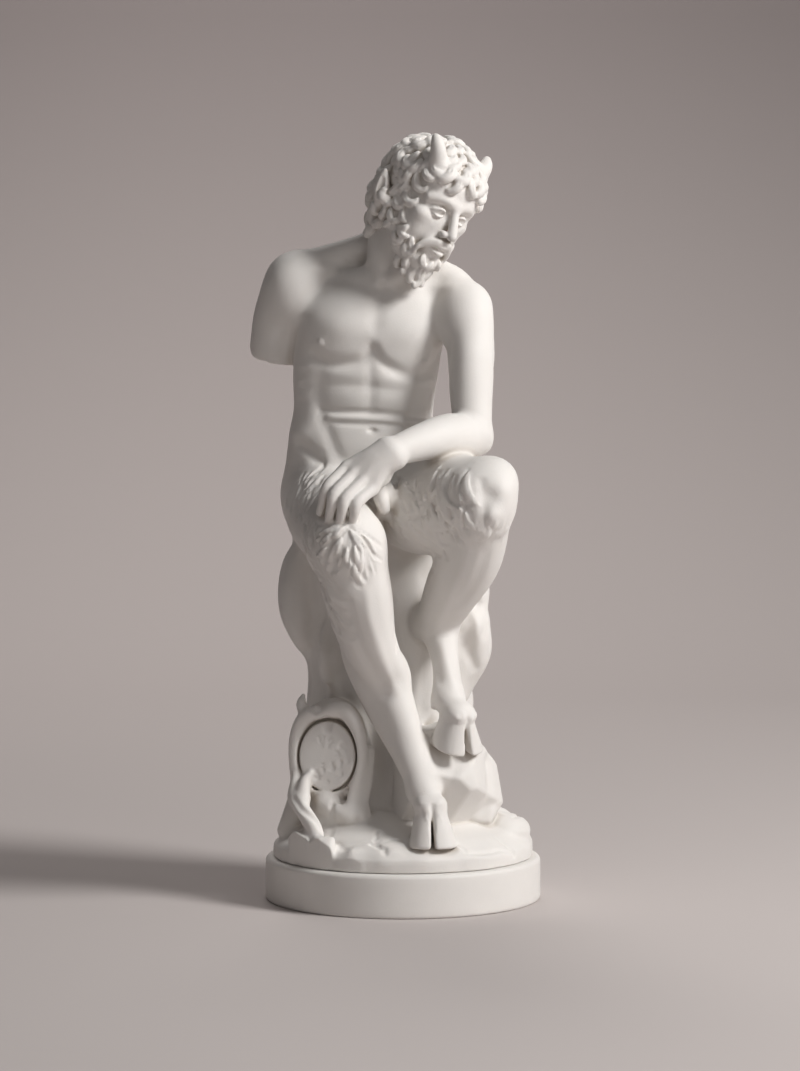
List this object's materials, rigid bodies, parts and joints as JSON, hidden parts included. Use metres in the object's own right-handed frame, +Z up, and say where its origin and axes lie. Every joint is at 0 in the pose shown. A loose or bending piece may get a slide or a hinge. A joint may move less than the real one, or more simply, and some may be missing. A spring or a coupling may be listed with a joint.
{
  "type": "faun statue",
  "caption": "White stone statue of a seated, bearded faun on a tree stump, one arm broken off, one hoof raised on a rock, on a low round plinth.",
  "frame": {"origin": "centre of the round plinth's underside", "axes": "+Z up through the statue, -Y out of its front towards a viewer, +X to the viewer's right"},
  "size_m": [0.1917, 0.1903, 0.4995],
  "materials": {
    "carved_white_stone": "matte, finely rubbed, grainier on the bark and the ground",
    "plinth_white_stone": "matte, smooth"
  },
  "bodies": {
    "root": {"faun_on_stump": "carved_white_stone", "round_plinth": "plinth_white_stone"}
  },
  "joints": []
}
